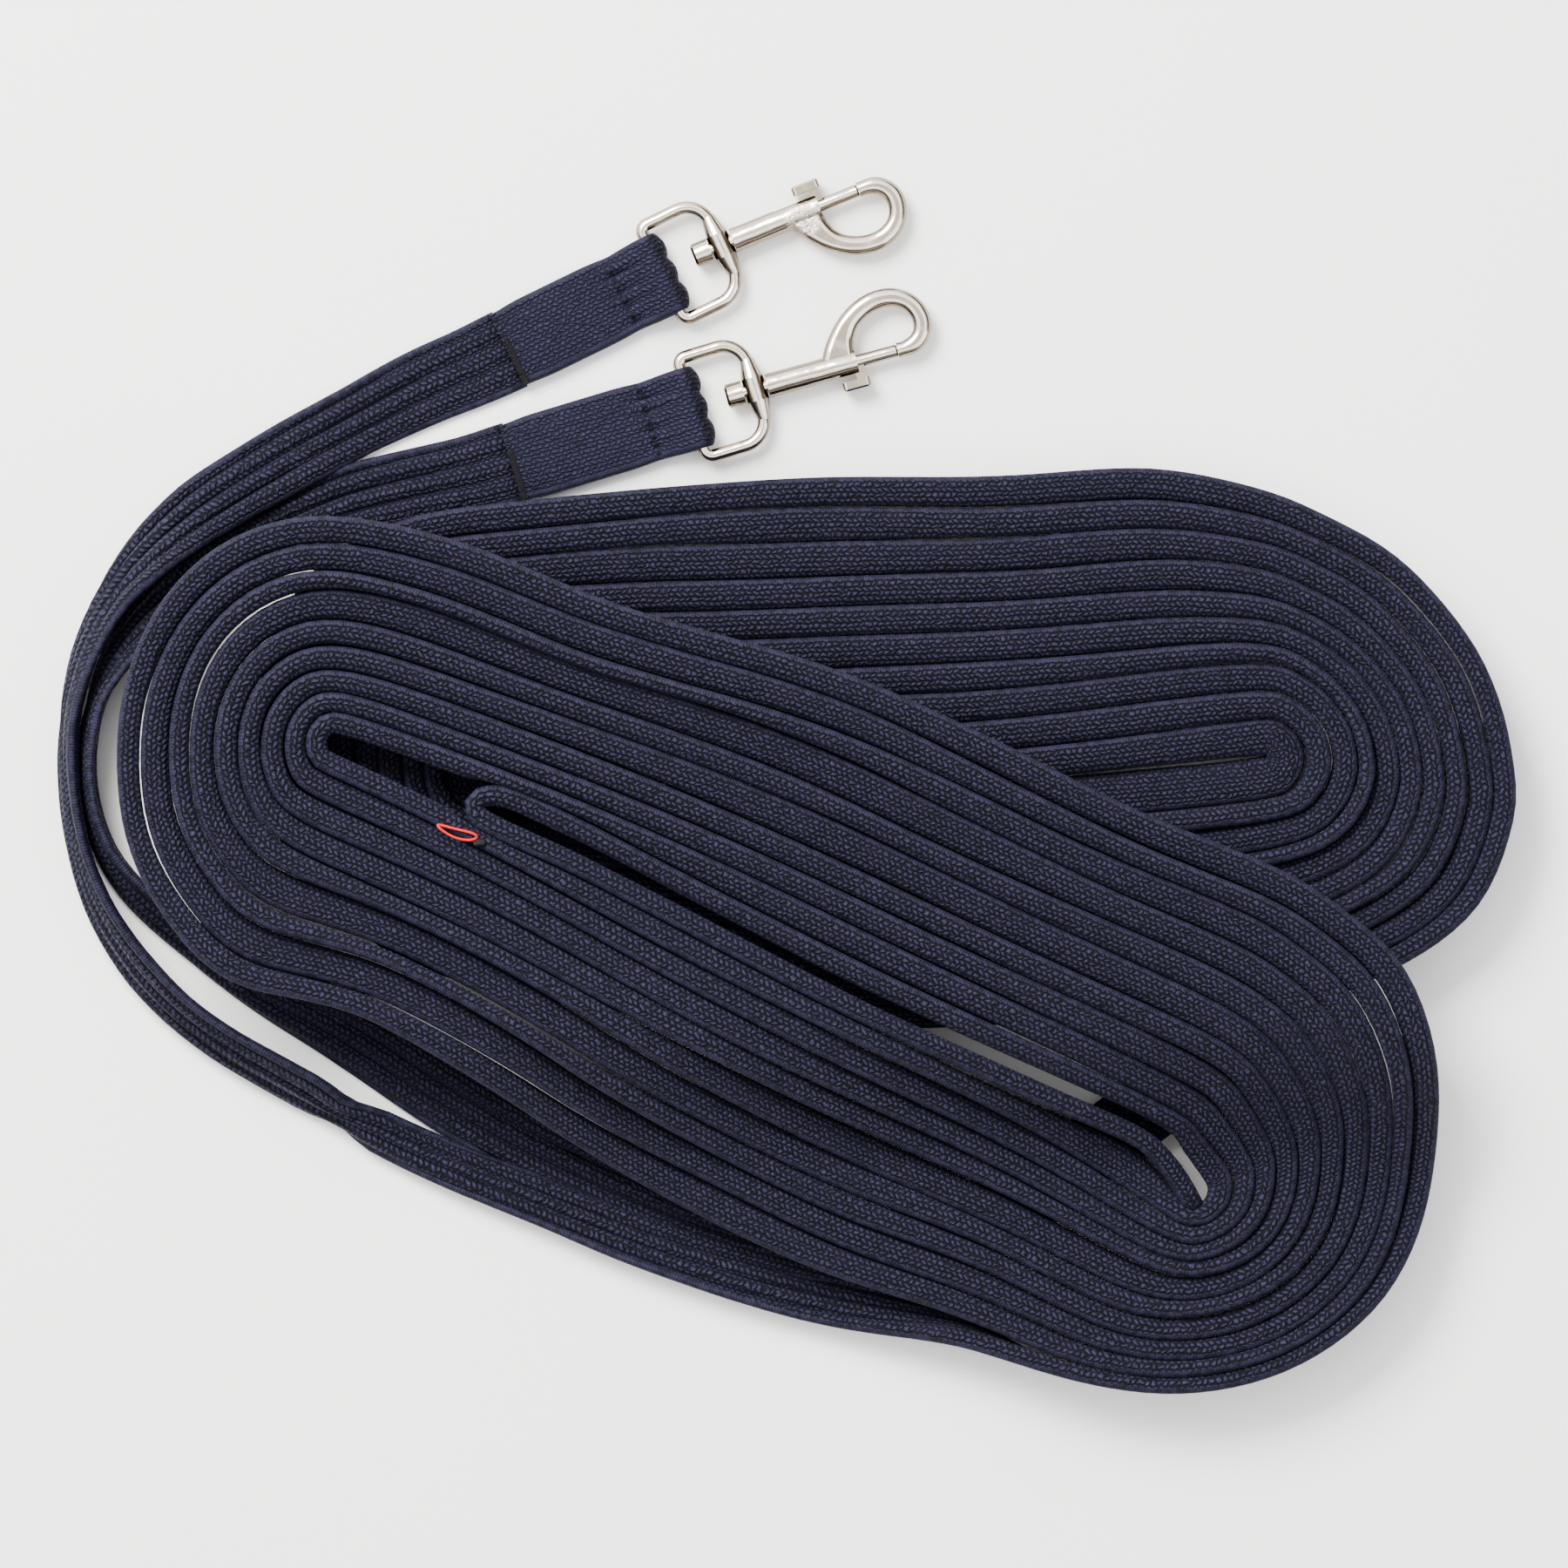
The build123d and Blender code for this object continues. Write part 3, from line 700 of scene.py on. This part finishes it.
def make_stitching(key):
    """Box stitch with its cross, the stitch that closes the loop, and the bar tack."""
    clip = CLIPS[key]
    seed = COILS[key]["seed"]
    draw = random.Random(seed)
    x0, x1, y = -clip["sewn"] + BOX_MARGIN, LOOP_STITCH_X - BOX_MARGIN, BOX_Y
    corners = [(x0, -y), (x1, -y), (x1, y), (x0, y)]
    lines = list(zip(corners, corners[1:] + corners[:1])) + [(corners[0], corners[2]),
                                                             (corners[3], corners[1])]
    box = [run for a, b in lines for run in seam(clip, seed, a, b, 2.7 * MM, 0.3 * MM, draw)]
    loop = []
    for back in (0.0, -0.8 * MM):
        x = LOOP_STITCH_X + back
        ends = (x, -LOOP_STITCH_Y), (x, LOOP_STITCH_Y)
        loop += seam(clip, seed, *ends, 2.2 * MM, 0.35 * MM, draw)
    tack = []
    rows = 44
    for k in range(rows):
        across = TACK_Y * (2 * k / (rows - 1) - 1)
        dense = across < 2.5 * MM       # past this the tack is sparse
        if not dense and k % 3:
            continue
        reach = (1.2 if dense else 0.8) * MM + draw.uniform(0, 0.3) * MM
        middle = -clip["sewn"] + TACK_BACK + draw.uniform(-0.25, 0.25) * MM
        tack.append(stitch(clip, seed, (middle - reach, across),
                           (middle + reach, across + 0.5 * MM), 0.45 * MM))
    return {"box_stitch": box, "loop_stitch": loop, "bar_tack": tack}


# --- return springs: fixed coils here, though the real ones shorten as the gates slide back ---
SPRING_X = (27.2 * MM, 39.6 * MM)                # along the snap, from the line of the eye's bar
SPRING_R = 1.3 * MM
SPRING_WIRE_R = 0.22 * MM
SPRING_TURNS = 6
SPRING_POINTS = 20                               # for each turn


def make_spring(key):
    """Open coil spring in the barrel, with its fixed end and its direction."""
    clip = CLIPS[key]
    yaw = math.radians(clip["snap_yaw"])
    along = np.array([math.cos(yaw), math.sin(yaw), 0.0])
    across = np.array([-math.sin(yaw), math.cos(yaw), 0.0])
    origin = np.array([clip["boss"][0], clip["boss"][1], SNAP_Z]) - EYE_DEPTH * along
    wire = []
    for k in range(SPRING_TURNS * SPRING_POINTS + 1):
        turn = 2 * math.pi * k / SPRING_POINTS
        x = SPRING_X[0] + (SPRING_X[1] - SPRING_X[0]) * k / (SPRING_TURNS * SPRING_POINTS)
        wire.append(origin + along * x + SPRING_R * (across * math.cos(turn) + UP * math.sin(turn)))
    spring = threads_mesh(f"plunger_spring_{key}_wire", [wire], SPRING_WIRE_R)
    return spring, origin + along * SPRING_X[0], along


# --- the red thread loop -------------------------------------------------------------------------
TAG_AT = (-96.0 * MM, -14.2 * MM)
TAG_ANGLE = math.radians(-17)
TAG_HALF = 6.0 * MM
TAG_THREAD_R = 0.42 * MM
KNOT_AT = (7.6 * MM, -1.0 * MM)                  # from the loop's middle, along and across it
KNOT_R = 1.5 * MM


def make_tag(under):
    """A loop of red thread between two turns, and its dark melted end."""
    tree = BVHTree.FromPolygons([v.co for v in under.data.vertices],
                                [tuple(p.vertices) for p in under.data.polygons])

    def top(x, y):
        hit = tree.ray_cast(Vector((x, y, 0.1)), Vector((0, 0, -1)))[0]
        return hit.z if hit else COIL_RISE

    def at(u, v):
        x = TAG_AT[0] + u * math.cos(TAG_ANGLE) - v * math.sin(TAG_ANGLE)
        y = TAG_AT[1] + u * math.sin(TAG_ANGLE) + v * math.cos(TAG_ANGLE)
        return x, y

    level = max(top(*at(u * MM, 0)) for u in (-5, 0, 5))
    points = []
    for k in range(40):
        turn = 2 * math.pi * k / 40
        u = TAG_HALF * math.cos(turn)
        v = (1.25 * math.sin(turn) * (1 + 0.3 * math.cos(turn)) + 0.35 * math.cos(2 * turn)) * MM
        x, y = at(u, v)
        points.append((x, y, level + (0.35 + 0.3 * math.sin(2 * turn)) * MM))
    loop = threads_mesh("tag_thread", [points], TAG_THREAD_R, closed=True, sides=10)
    x, y = at(*KNOT_AT)
    mesh = bpy.data.meshes.new("tag_melted_end")
    work = bmesh.new()
    bmesh.ops.create_icosphere(work, subdivisions=4, radius=KNOT_R)
    for vert in work.verts:
        lump = 1 + 0.3 * noise.noise(vert.co * 900) + 0.12 * noise.noise(vert.co * 2500)
        vert.co = Vector((vert.co.x * 1.35, vert.co.y * 0.8, vert.co.z * 0.6)) * lump
        vert.co = vert.co + Vector((x, y, top(x, y) + 0.3 * MM))
    work.to_mesh(mesh)
    work.free()
    return loop, mesh_piece("tag_melted_end", mesh)


# --- materials ----------------------------------------------------------------------------------
class Nodes:
    """A short way to write node trees."""

    def __init__(self, name):
        self.material = bpy.data.materials.new(name)
        self.material.use_nodes = True
        self.tree = self.material.node_tree
        self.shader = self.tree.nodes["Principled BSDF"]

    def node(self, kind, **settings):
        made = self.tree.nodes.new(kind)
        for key, value in settings.items():
            setattr(made, key, value)
        return made

    def put(self, socket, value):
        if isinstance(value, bpy.types.NodeSocket):
            self.tree.links.new(value, socket)
        else:
            socket.default_value = value

    def math(self, operation, a, b=None, c=None):
        made = self.node("ShaderNodeMath", operation=operation)
        for socket, value in zip(made.inputs, (a, b, c)):
            if value is not None:
                self.put(socket, value)
        return made.outputs[0]

    def mix(self, factor, a, b):
        made = self.node("ShaderNodeMix", data_type="RGBA")
        self.put(made.inputs[0], factor)
        self.put(made.inputs[6], a)
        self.put(made.inputs[7], b)
        return made.outputs[2]

    def noise(self, scale, detail=3.0, rough=0.55):
        made = self.node("ShaderNodeTexNoise")
        made.inputs["Scale"].default_value = scale
        made.inputs["Detail"].default_value = detail
        made.inputs["Roughness"].default_value = rough
        self.put(made.inputs["Vector"], self.node("ShaderNodeTexCoord").outputs["Object"])
        return made.outputs["Fac"]

    def ramp(self, value, low, high):
        made = self.node("ShaderNodeMapRange", interpolation_type="SMOOTHSTEP")
        self.put(made.inputs["Value"], value)
        made.inputs["From Min"].default_value = low
        made.inputs["From Max"].default_value = high
        return made.outputs["Result"]

    def bump(self, height, strength, distance, normal=None):
        made = self.node("ShaderNodeBump")
        made.inputs["Strength"].default_value = strength
        made.inputs["Distance"].default_value = distance
        self.put(made.inputs["Height"], height)
        if normal is not None:
            self.put(made.inputs["Normal"], normal)
        return made.outputs["Normal"]


def rgb(red, green, blue):
    return (red, green, blue, 1.0)


def web_material():
    """Woven navy web: rows of knuckles offset like bricks, with a smooth selvedge, painted shade in
    its crevices and at its fold round the bar, and painted fibre highlights.
    """
    n = Nodes("navy_web")
    uv = n.node("ShaderNodeUVMap", uv_map="web").outputs["UV"]
    split = n.node("ShaderNodeSeparateXYZ")
    n.put(split.inputs[0], uv)
    jitter = n.math("MULTIPLY", n.math("SUBTRACT", n.noise(420, 2.0), 0.5), 1.25)
    along = n.math("MULTIPLY_ADD", split.outputs[0], 1 / KNUCKLE_LONG, jitter)
    across = n.math("MULTIPLY_ADD", split.outputs[1], 1 / KNUCKLE_WIDE, jitter)
    row = n.math("FLOOR", across)
    odd = n.math("MODULO", n.math("ABSOLUTE", row), 2.0)
    y = n.math("FRACT", across)
    lean = n.math("MULTIPLY", n.math("SUBTRACT", y, 0.5), n.math("MULTIPLY_ADD", odd, 0.9, -0.45))
    x = n.math("FRACT", n.math("ADD", n.math("MULTIPLY_ADD", odd, 0.5, along), lean))
    knuckle = n.math("MULTIPLY", n.math("SINE", n.math("MULTIPLY", x, math.pi)),
                     n.math("SINE", n.math("MULTIPLY", y, math.pi)))
    knuckle = n.math("POWER", n.math("MAXIMUM", knuckle, 0.0), 0.9)
    edge = n.ramp(n.math("ABSOLUTE", split.outputs[1]), 10.5 * MM, 11.2 * MM)
    ticks = n.math("SINE", n.math("MULTIPLY", split.outputs[0], 2 * math.pi / SELVEDGE_PICK))
    selvedge = n.math("MULTIPLY_ADD", ticks, 0.06, 0.53)
    height = n.math("ADD", n.math("MULTIPLY", knuckle, n.math("SUBTRACT", 1.0, edge)),
                    n.math("MULTIPLY", selvedge, edge))
    patch = n.noise(60, 4.0)
    tint = n.noise(140, 2.0)
    fibre = n.noise(2600, 2.0)
    # painted shade: the weave's crevices and pits are darkened to near black, and its knuckle tops
    # are lighter
    pit = n.math("MULTIPLY_ADD", n.ramp(n.noise(520, 2.0), 0.35, 0.65), 0.42, 0.78)
    sewn = n.ramp(split.outputs[0], 0.75 * LOOP_END_U, 0.8 * LOOP_END_U)
    shade = n.math("MAXIMUM", n.math("MULTIPLY", height, pit), n.math("MULTIPLY", sewn, 0.52))
    face = n.mix(n.ramp(shade, 0.27, 0.84),
                 rgb(0.0002, 0.0002, 0.0008), rgb(0.0142, 0.0134, 0.0330))
    # painted shade: the web is darkened to near black where it folds round the eye's bar
    loop_end = n.math("ABSOLUTE", n.math("SUBTRACT", split.outputs[0], LOOP_END_U))
    fold_shade = n.ramp(loop_end, 5.0 * MM, 3.6 * MM)
    face = n.mix(n.math("MULTIPLY", fold_shade, 0.85), face, rgb(0.0006, 0.0006, 0.0012))
    face = n.mix(n.ramp(tint, 0.45, 0.75), face, n.mix(0.25, face, rgb(0.0110, 0.0062, 0.020)))
    face = n.mix(n.ramp(patch, 0.3, 0.7), n.mix(0.25, face, rgb(0.002, 0.0025, 0.008)), face)
    # painted highlights: small bright fibre glints on the knuckle tops
    fibre_glint = n.math("MULTIPLY", n.ramp(fibre, 0.66, 0.8), n.math("MULTIPLY", height, 0.22))
    face = n.mix(fibre_glint, face, rgb(0.06, 0.06, 0.095))
    n.put(n.shader.inputs["Base Color"], face)
    n.put(n.shader.inputs["Roughness"], n.math("MULTIPLY_ADD", height, -0.22, 0.80))
    n.shader.inputs["Specular IOR Level"].default_value = 0.17
    n.shader.inputs["Specular Tint"].default_value = rgb(0.80, 0.82, 1.0)
    n.shader.inputs["Sheen Weight"].default_value = 0.03
    n.shader.inputs["Sheen Roughness"].default_value = 0.4
    n.shader.inputs["Sheen Tint"].default_value = rgb(0.35, 0.37, 0.7)
    fine = n.bump(fibre, 0.3, 0.12 * MM)
    n.put(n.shader.inputs["Normal"], n.bump(height, 1.0, 0.65 * MM, fine))
    return n.material


def thread_material(name, dark, light):
    n = Nodes(name)
    ply = n.node("ShaderNodeTexWave", wave_type="BANDS")
    ply.inputs["Scale"].default_value = 900
    ply.inputs["Distortion"].default_value = 1.5
    n.put(ply.inputs["Vector"], n.node("ShaderNodeTexCoord").outputs["Object"])
    body = n.mix(ply.outputs["Fac"], dark, light)
    body = n.mix(n.ramp(n.noise(700), 0.35, 0.7), n.mix(0.4, body, dark), body)
    n.put(n.shader.inputs["Base Color"], body)
    n.put(n.shader.inputs["Roughness"], n.math("MULTIPLY_ADD", ply.outputs["Fac"], -0.2, 0.75))
    n.shader.inputs["Specular IOR Level"].default_value = 0.2
    n.put(n.shader.inputs["Normal"], n.bump(ply.outputs["Fac"], 0.6, 0.1 * MM))
    return n.material


def metal_material(name, bright, dull):
    """Bright metal with painted shade and dark painted reflections on its sides, soft scuffs and one
    rough place in a casting.
    """
    n = Nodes(name)
    grain = n.noise(1400, 3.0)
    scuff = n.noise(260, 5.0, 0.65)
    patch = n.node("ShaderNodeVectorMath", operation="DISTANCE")
    n.put(patch.inputs[0], n.node("ShaderNodeTexCoord").outputs["Object"])
    patch.inputs[1].default_value = CAST_PATCH
    rough = n.math("MULTIPLY", n.ramp(patch.outputs["Value"], 6.5 * MM, 2.5 * MM),
                   n.ramp(n.noise(650, 4.0), 0.38, 0.55))
    tone = n.mix(n.ramp(scuff, 0.35, 0.72), bright, dull)
    # painted shade and painted reflection: faces that turn sideways are darkened to olive-brown
    facing = n.node("ShaderNodeSeparateXYZ")
    n.put(facing.inputs[0], n.node("ShaderNodeTexCoord").outputs["Normal"])
    side_shade = n.ramp(n.math("ABSOLUTE", facing.outputs[2]), 0.94, 0.50)
    tone = n.mix(n.math("MULTIPLY", side_shade, 0.93), tone, rgb(0.13, 0.10, 0.065))
    tone = n.mix(n.math("MULTIPLY", rough, 0.6), tone, rgb(0.35, 0.30, 0.24))
    n.put(n.shader.inputs["Base Color"], tone)
    n.shader.inputs["Metallic"].default_value = 1.0
    polish = n.math("MULTIPLY_ADD", n.ramp(scuff, 0.4, 0.75), 0.16, 0.11)
    n.put(n.shader.inputs["Roughness"], n.math("MULTIPLY_ADD", rough, 0.3, polish))
    waves = n.bump(n.noise(90, 2.0), 0.6, 0.8 * MM)
    pits = n.bump(n.math("MULTIPLY", n.noise(1900, 4.0), rough), 0.9, 0.35 * MM, waves)
    n.put(n.shader.inputs["Normal"], n.bump(grain, 0.18, 0.06 * MM, pits))
    return n.material


def floor_material():
    n = Nodes("pale_floor")
    tone = n.mix(n.noise(6, 3.0), rgb(0.90, 0.90, 0.90), rgb(0.94, 0.94, 0.94))
    n.put(n.shader.inputs["Base Color"], tone)
    n.shader.inputs["Roughness"].default_value = 0.8
    n.shader.inputs["Specular IOR Level"].default_value = 0.2
    return n.material


def dress(piece, material):
    """Puts one material on a piece or a CAD node."""
    if not piece.data.materials:
        piece.data.materials.append(material)
    for slot in piece.material_slots:
        slot.material = material


# --- stage ---------------------------------------------------------------------------------------
FLOOR_HALF = 4.0
FLOOR_DROP = 0.2 * MM       # the floor lies just under the part
KEY_SIDE = (-0.6, 0.8, 0.0)
STUDIO_TILT = 0.9           # how much brighter the walls are towards the key light
STUDIO_STRENGTH = 2.9
STUDIO_STOPS = (            # from the walls' foot to straight up
    (0.0, (0.20, 0.18, 0.16)), (0.22, (0.050, 0.042, 0.033)), (0.56, (0.055, 0.045, 0.032)),
    (0.74, (0.75, 0.74, 0.74)), (0.90, (1.1, 1.1, 1.1)), (0.972, (1.1, 1.1, 1.1)),
    (0.990, (0.46, 0.43, 0.39)), (1.0, (0.36, 0.335, 0.30)),
)


def add_area(name, place, aim, size, power, colour):
    data = bpy.data.lights.new(name, "AREA")
    data.shape = "RECTANGLE"
    data.size, data.size_y = size
    data.energy = power
    data.color = colour
    lamp = bpy.data.objects.new(name, data)
    lamp.location = place
    lamp.rotation_euler = (Vector(aim) - Vector(place)).to_track_quat("-Z", "Y").to_euler()
    bpy.context.collection.objects.link(lamp)


def add_stage():
    mesh = bpy.data.meshes.new("floor")
    side = FLOOR_HALF
    mesh.from_pydata([(-side, -side, 0), (side, -side, 0), (side, side, 0), (-side, side, 0)],
                     [], [(0, 1, 2, 3)])
    floor = bpy.data.objects.new("floor", mesh)
    floor.location.z = -FLOOR_DROP
    bpy.context.collection.objects.link(floor)
    dress(floor, floor_material())
    add_world()
    add_area("key", (-0.8, 1.05, 1.45), (0, 0, 0), (0.9, 0.9), 125, (1.0, 0.97, 0.93))
    add_area("fill", (1.3, -0.6, 1.3), (0, 0, 0), (1.2, 1.2), 14, (0.93, 0.96, 1.0))


def add_world():
    """A bright ceiling with a dim middle over walls that are dark away from the key light."""
    world = bpy.data.worlds.new("studio")
    bpy.context.scene.world = world
    world.use_nodes = True
    tree = world.node_tree
    place = tree.nodes.new("ShaderNodeTexCoord")
    split = tree.nodes.new("ShaderNodeSeparateXYZ")
    tree.links.new(place.outputs["Generated"], split.inputs[0])
    side = tree.nodes.new("ShaderNodeVectorMath")
    side.operation = "DOT_PRODUCT"
    tree.links.new(place.outputs["Generated"], side.inputs[0])
    side.inputs[1].default_value = KEY_SIDE
    low = tree.nodes.new("ShaderNodeMath")
    low.operation = "MULTIPLY_ADD"
    tree.links.new(split.outputs[2], low.inputs[0])
    low.inputs[1].default_value = -STUDIO_TILT
    low.inputs[2].default_value = STUDIO_TILT
    tilted = tree.nodes.new("ShaderNodeMath")
    tilted.operation = "MULTIPLY_ADD"
    tree.links.new(low.outputs[0], tilted.inputs[0])
    tree.links.new(side.outputs["Value"], tilted.inputs[1])
    tree.links.new(split.outputs[2], tilted.inputs[2])
    ramp = tree.nodes.new("ShaderNodeValToRGB")
    tree.links.new(tilted.outputs[0], ramp.inputs[0])
    stops = ramp.color_ramp.elements
    for k, (at, colour) in enumerate(STUDIO_STOPS):
        stop = stops[k] if k < 2 else stops.new(at)     # a new ramp has two stops
        stop.position = at
        stop.color = rgb(*colour)
    back = tree.nodes["Background"]
    tree.links.new(ramp.outputs[0], back.inputs[0])
    back.inputs[1].default_value = STUDIO_STRENGTH


add_camera()
web = web_material()
nickel = metal_material("nickel", rgb(0.84, 0.76, 0.67), rgb(0.66, 0.58, 0.48))
spring_steel = metal_material("spring_steel", rgb(0.50, 0.49, 0.47), rgb(0.32, 0.31, 0.30))
navy_thread = thread_material("navy_thread", rgb(0.0006, 0.0006, 0.002), rgb(0.008, 0.008, 0.022))
dark_thread = thread_material("dark_thread", rgb(0.0003, 0.0003, 0.001), rgb(0.0022, 0.0022, 0.006))
red_thread = thread_material("red_thread", rgb(0.32, 0.004, 0.003), rgb(0.72, 0.012, 0.010))
SEAMS = {"box_stitch": (navy_thread, "thread_navy"), "loop_stitch": (dark_thread, "thread_dark"),
         "bar_tack": (dark_thread, "thread_dark")}


def place(piece, material, body, slot, *nodes):
    dress(piece, material)
    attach(piece, body)
    if nodes:
        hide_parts(*nodes)


reins = {}
for key in ("a", "b"):
    piece, line, length = make_rein(key)
    reins[key] = piece
    place(piece, web, "root", "web_navy", f"rein_{key}_coil", f"rein_{key}_leg")
    place(make_clip_end(key), web, "root", "web_navy", f"rein_{key}_clip_end")
    for seam_name, runs in make_stitching(key).items():
        material, slot = SEAMS[seam_name]
        threads = threads_mesh(f"rein_{key}_{seam_name}_thread", runs, THREAD_R)
        place(threads, material, "root", slot, f"rein_{key}_{seam_name}")
    spring, fixed_end, direction = make_spring(key)
    place(spring, spring_steel, f"snap_{key}", "spring_steel", f"plunger_spring_{key}")
    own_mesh(spring)

tag, knot = make_tag(reins["a"])
place(tag, red_thread, "root", "thread_red", "tag_loop")
place(knot, dark_thread, "root", "thread_dark", "tag_knot")

for node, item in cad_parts.items():
    if node.startswith(("snap_body", "swivel", "plunger", "thumb")):
        dress(item, nickel)

add_stage()
